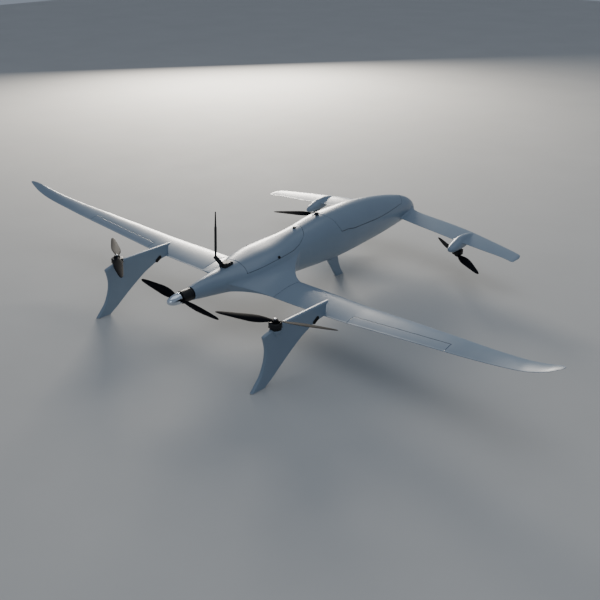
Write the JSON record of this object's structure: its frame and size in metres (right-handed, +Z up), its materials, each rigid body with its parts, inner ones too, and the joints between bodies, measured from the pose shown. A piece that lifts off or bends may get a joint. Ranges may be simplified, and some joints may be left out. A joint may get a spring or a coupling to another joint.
{
  "type": "fixed_wing_drone",
  "caption": "Pusher aircraft without a pilot: slender body, canard, swept-tip wings, lift rotors on blade-shaped legs and canard pods, removable top hatches.",
  "frame": {"origin": "centre of the part's box in X and Y, on the ground under the foot pads", "axes": "+X to the aircraft's right wing tip, +Y to its nose, +Z up"},
  "size_m": [3.14, 1.749, 0.5439],
  "materials": {
    "shell_paint": "satin pale grey paint over a composite skin",
    "carbon": "dark carbon composite, satin",
    "black_metal": "black anodised, satin",
    "bare_aluminium": "turned, bare",
    "polished_metal": "polished",
    "black_plastic": "matt black moulding",
    "pad_rubber": "light grey, matt",
    "steel": "plain",
    "ply": "thin birch plywood, unvarnished",
    "battery_wrap": "shrink wrap"
  },
  "bodies": {
    "airframe": {"fuselage_shell": "shell_paint", "wing_r": "shell_paint", "wing_l": "shell_paint", "elevon_pin_r": "steel", "elevon_pin_l": "steel", "elevon_servo_r": "black_plastic", "elevon_servo_l": "black_plastic", "wing_spars": "carbon", "canard_r": "shell_paint", "canard_l": "shell_paint", "canard_spar": "carbon", "pod_r": "shell_paint", "pod_l": "shell_paint", "fin_r": "shell_paint", "fin_l": "shell_paint", "front_leg": "shell_paint", "foot_pad_r": "pad_rubber", "foot_pad_l": "pad_rubber", "foot_pad_front": "pad_rubber", "fin_vents": "black_plastic", "stator_rear_r": "bare_aluminium", "stator_rear_l": "bare_aluminium", "stator_front_r": "bare_aluminium", "stator_front_l": "bare_aluminium", "firewall": "bare_aluminium", "pusher_stator": "bare_aluminium", "antenna_base": "black_plastic", "latch_block": "black_metal", "equipment_tray": "ply", "formers": "ply", "battery_packs": "battery_wrap", "autopilot": "black_plastic", "lift_escs": "black_plastic", "pusher_esc": "black_plastic", "motor_screws": "steel", "leg_screws": "steel"},
    "spin_rear_r": {"bell_rear_r": "black_metal", "rotor_rear_r": "carbon", "cap_rear_r": "bare_aluminium"},
    "spin_rear_l": {"bell_rear_l": "black_metal", "rotor_rear_l": "carbon", "cap_rear_l": "bare_aluminium"},
    "spin_front_r": {"bell_front_r": "black_metal", "rotor_front_r": "carbon", "cap_front_r": "bare_aluminium"},
    "spin_front_l": {"bell_front_l": "black_metal", "rotor_front_l": "carbon", "cap_front_l": "bare_aluminium"},
    "pusher": {"pusher_bell": "black_metal", "pusher_prop": "carbon", "spinner": "polished_metal"},
    "b_elevon_r": {"elevon_r": "shell_paint"},
    "b_elevon_l": {"elevon_l": "shell_paint"},
    "b_antenna_whip": {"antenna_whip": "black_plastic"},
    "b_nose_hatch": {"nose_hatch": "shell_paint"},
    "b_centre_hatch": {"centre_hatch": "shell_paint"},
    "b_hatch_latch_r": {"hatch_latch_r": "black_metal"},
    "b_hatch_latch_l": {"hatch_latch_l": "black_metal"},
    "b_hatch_knob": {"hatch_knob": "black_metal"},
    "b_pull_pin": {"pull_pin": "steel"}
  },
  "joints": [
    {"name": "spin_rear_r", "type": "hinge", "parent": "airframe", "child": "spin_rear_r", "pos_m": [0.502, -0.7295, 0.264], "axis": [0, 0, 1], "continuous": true},
    {"name": "spin_rear_l", "type": "hinge", "parent": "airframe", "child": "spin_rear_l", "pos_m": [-0.502, -0.7295, 0.264], "axis": [0, 0, 1], "continuous": true},
    {"name": "spin_front_r", "type": "hinge", "parent": "airframe", "child": "spin_front_r", "pos_m": [0.467, 0.6135, 0.122], "axis": [0, 0, 1], "continuous": true},
    {"name": "spin_front_l", "type": "hinge", "parent": "airframe", "child": "spin_front_l", "pos_m": [-0.467, 0.6135, 0.122], "axis": [0, 0, 1], "continuous": true},
    {"name": "pusher_spin", "type": "hinge", "parent": "airframe", "child": "pusher", "pos_m": [0, -0.7915, 0.227], "axis": [0, 1, 0], "continuous": true},
    {"name": "elevon_right", "type": "hinge", "parent": "airframe", "child": "b_elevon_r", "pos_m": [0.633, -0.4146, 0.20247], "axis": [0.9965, -0.0123, 0.0833], "range_deg": [-20, 20]},
    {"name": "elevon_left", "type": "hinge", "parent": "airframe", "child": "b_elevon_l", "pos_m": [-0.633, -0.4146, 0.20247], "axis": [0.9965, 0.0123, -0.0833], "range_deg": [-20, 20]},
    {"name": "antenna_fold", "type": "hinge", "parent": "airframe", "child": "b_antenna_whip", "pos_m": [-0.008, -0.5665, 0.341], "axis": [1, 0, 0], "range_deg": [0, 60]},
    {"name": "nose_hatch_lift", "type": "slide", "parent": "airframe", "child": "b_nose_hatch", "axis": [0, 0, 1], "range_m": [0, 0.25]},
    {"name": "centre_hatch_lift", "type": "slide", "parent": "airframe", "child": "b_centre_hatch", "axis": [0, 0, 1], "range_m": [0, 0.25]},
    {"name": "latch_r_turn", "type": "hinge", "parent": "b_centre_hatch", "child": "b_hatch_latch_r", "pos_m": [0.10135, -0.2875, 0.28518], "axis": [0.7986, 0, 0.6018], "range_deg": [0, 90]},
    {"name": "latch_l_turn", "type": "hinge", "parent": "b_centre_hatch", "child": "b_hatch_latch_l", "pos_m": [-0.10135, -0.2875, 0.28518], "axis": [-0.7986, 0, 0.6018], "range_deg": [0, 90]},
    {"name": "knob_turn", "type": "hinge", "parent": "b_centre_hatch", "child": "b_hatch_knob", "pos_m": [0, -0.0775, 0.34236], "axis": [0, -0.1219, 0.9925], "range_deg": [0, 90]},
    {"name": "pull_pin_slide", "type": "slide", "parent": "airframe", "child": "b_pull_pin", "axis": [0, -1, 0], "range_m": [0, 0.01]}
  ]
}
